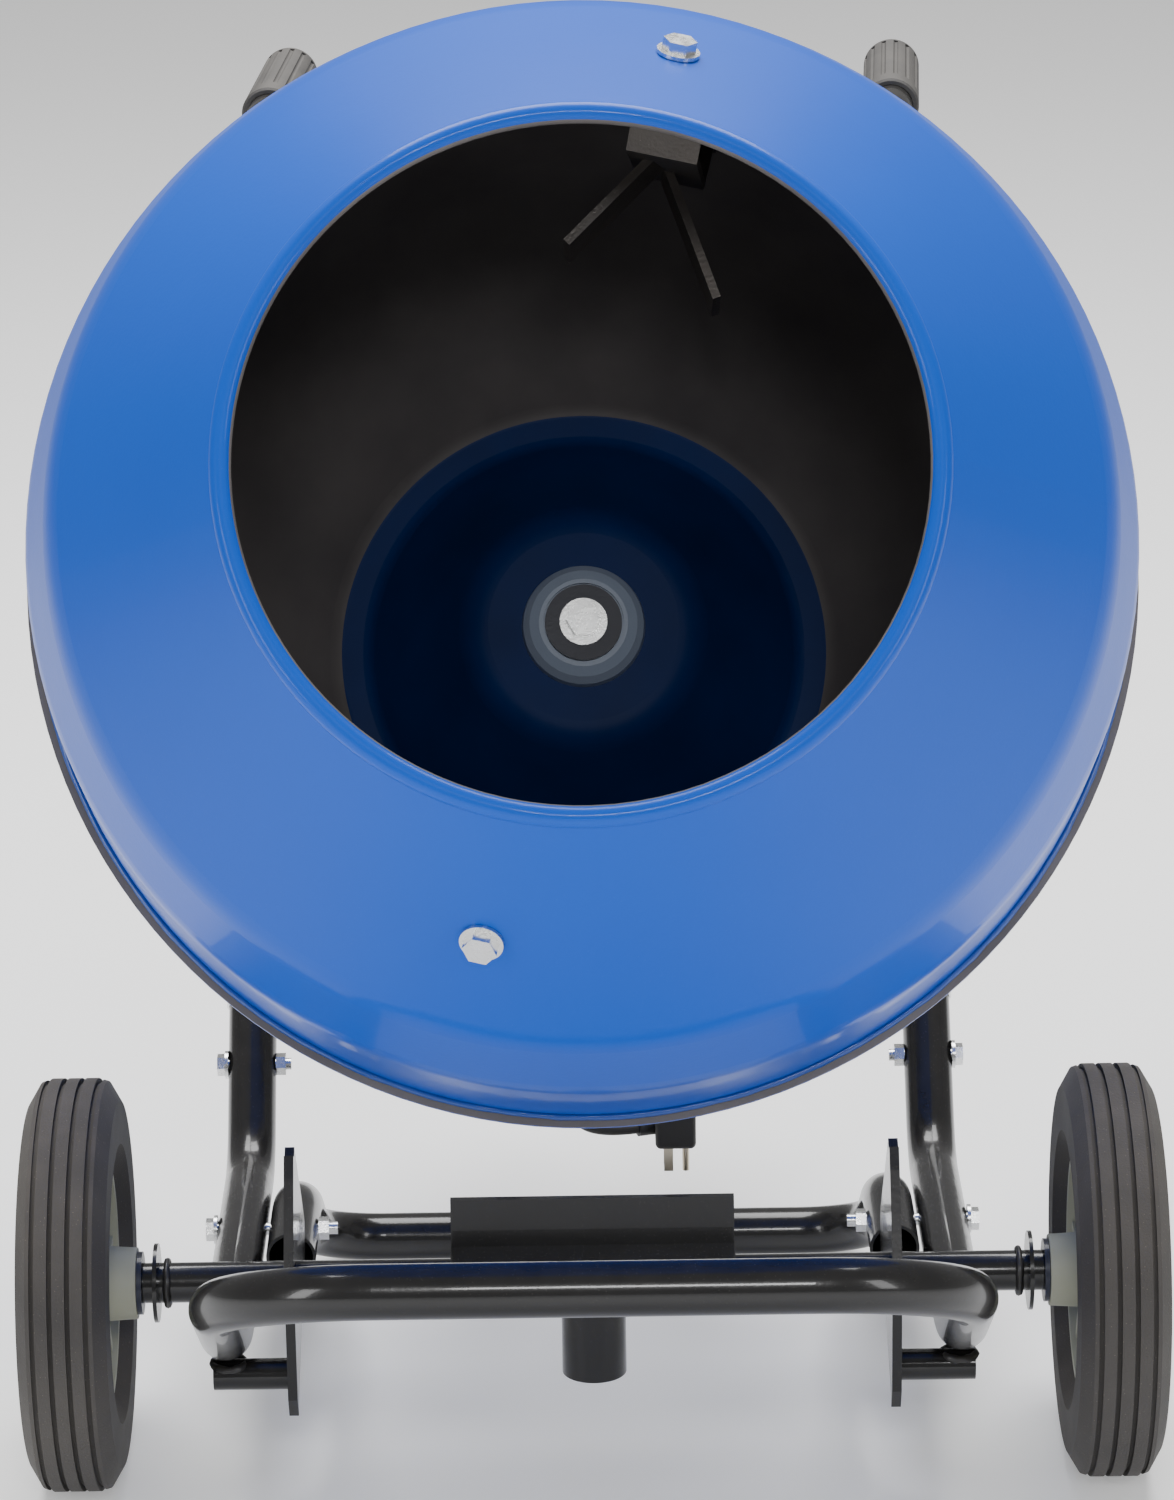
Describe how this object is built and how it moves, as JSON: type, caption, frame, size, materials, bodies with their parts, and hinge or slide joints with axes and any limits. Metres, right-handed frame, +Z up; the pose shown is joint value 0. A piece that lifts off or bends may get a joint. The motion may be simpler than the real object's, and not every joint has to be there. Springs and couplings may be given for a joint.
{
  "type": "concrete mixer",
  "caption": "Portable electric concrete mixer: steel drum with inner paddles on a geared motor, wheeled tube frame, front pouring bar and lift handles.",
  "frame": {"origin": "centre of the footprint on the floor", "axes": "+X to the right, +Y to the back (the drum's mouth faces -Y), +Z up"},
  "size_m": [0.71, 1.2132, 0.91],
  "materials": {
    "drum_blue": "gloss",
    "frame_black": "gloss",
    "zinc": "zinc plated",
    "hub_grey": "satin",
    "hub_dark": "satin",
    "tyre": "dusty matt",
    "rim_plastic": "satin",
    "grip_rubber": "matt",
    "cast_case": "as cast",
    "motor_paint": "satin",
    "steel": "machined",
    "black_plastic": "satin",
    "switch_red": "gloss",
    "cord_rubber": "matt",
    "plug_brass": "nickelled"
  },
  "bodies": {
    "frame": {"axle_rod": "zinc", "axle_tube": "frame_black", "axle_discs": "frame_black", "hub_washers": "hub_dark", "split_pin_left": "zinc", "split_pin_right": "zinc", "front_hoop": "frame_black", "rear_hoop": "frame_black", "hoop_bolts": "zinc", "side_plates": "frame_black", "rest_pegs": "frame_black", "angle_plate": "frame_black", "centre_stub": "frame_black", "riser_collars": "zinc", "riser_bolts": "zinc", "upper_riser_left": "frame_black", "upper_riser_right": "frame_black", "drive_cradle": "frame_black", "cradle_bolts": "zinc", "gearbox_case": "cast_case", "gearbox_cover": "cast_case", "case_bolts": "zinc", "shaft_bearings": "steel", "motor_shell": "motor_paint", "stator": "steel", "end_bell": "cast_case", "motor_bearings": "steel", "fan_cover": "motor_paint", "capacitor": "black_plastic", "capacitor_saddle": "frame_black", "switch_box": "black_plastic", "switch_box_lid": "black_plastic", "switch_bezel": "black_plastic", "strain_relief": "cord_rubber", "power_cord": "cord_rubber", "power_plug": "cord_rubber", "plug_pins": "plug_brass"},
    "drum": {"drum_cone": "drum_blue", "drum_pan": "drum_blue", "mixing_paddles": "frame_black", "paddle_bolts": "zinc", "hub_plate": "zinc", "hub_boss": "hub_grey", "hub_washer": "hub_dark", "hub_bolt": "zinc", "output_shaft": "steel", "output_gear": "steel"},
    "layshaft": {"layshaft": "steel", "layshaft_gear": "steel"},
    "rotor": {"rotor": "steel", "motor_fan": "black_plastic"},
    "wheel_left": {"tyre_left": "tyre", "rim_left": "rim_plastic"},
    "wheel_right": {"tyre_right": "tyre", "rim_right": "rim_plastic"},
    "rocker": {"rocker_switch": "switch_red"},
    "handle_left": {"handle_left": "frame_black", "grip_left": "grip_rubber"},
    "handle_right": {"handle_right": "frame_black", "grip_right": "grip_rubber"}
  },
  "joints": [
    {"name": "drum_spin", "type": "hinge", "parent": "frame", "child": "drum", "pos_m": [0, -0.24215, 0.563], "axis": [0, -0.8829, 0.4695], "continuous": true},
    {"name": "layshaft_spin", "type": "hinge", "parent": "frame", "child": "layshaft", "pos_m": [0, -0.00681, 0.34273], "axis": [0, -0.8829, 0.4695], "continuous": true},
    {"name": "rotor_spin", "type": "hinge", "parent": "frame", "child": "rotor", "pos_m": [0, 0.01854, 0.39041], "axis": [0, -0.8829, 0.4695], "continuous": true},
    {"name": "wheel_left_spin", "type": "hinge", "parent": "frame", "child": "wheel_left", "pos_m": [-0.318, -0.29415, 0.127], "axis": [1, 0, 0], "continuous": true},
    {"name": "wheel_right_spin", "type": "hinge", "parent": "frame", "child": "wheel_right", "pos_m": [0.318, -0.29415, 0.127], "axis": [1, 0, 0], "continuous": true},
    {"name": "rocker_tilt", "type": "hinge", "parent": "frame", "child": "rocker", "pos_m": [0, 0.12551, 0.23161], "axis": [1, 0, 0], "range_deg": [-14, 0]},
    {"name": "handle_left_turn", "type": "hinge", "parent": "frame", "child": "handle_left", "pos_m": [-0.226, -0.04015, 0.098], "axis": [0, 0.6393, 0.769], "range_deg": [-82, 23]},
    {"name": "handle_right_turn", "type": "hinge", "parent": "frame", "child": "handle_right", "pos_m": [0.226, -0.04015, 0.098], "axis": [0, 0.6393, 0.769], "range_deg": [-10, 95]}
  ],
  "couplings": [
    {"joint": "layshaft_spin", "follows": "drum_spin", "ratio": -7},
    {"joint": "rotor_spin", "follows": "drum_spin", "ratio": 56}
  ]
}
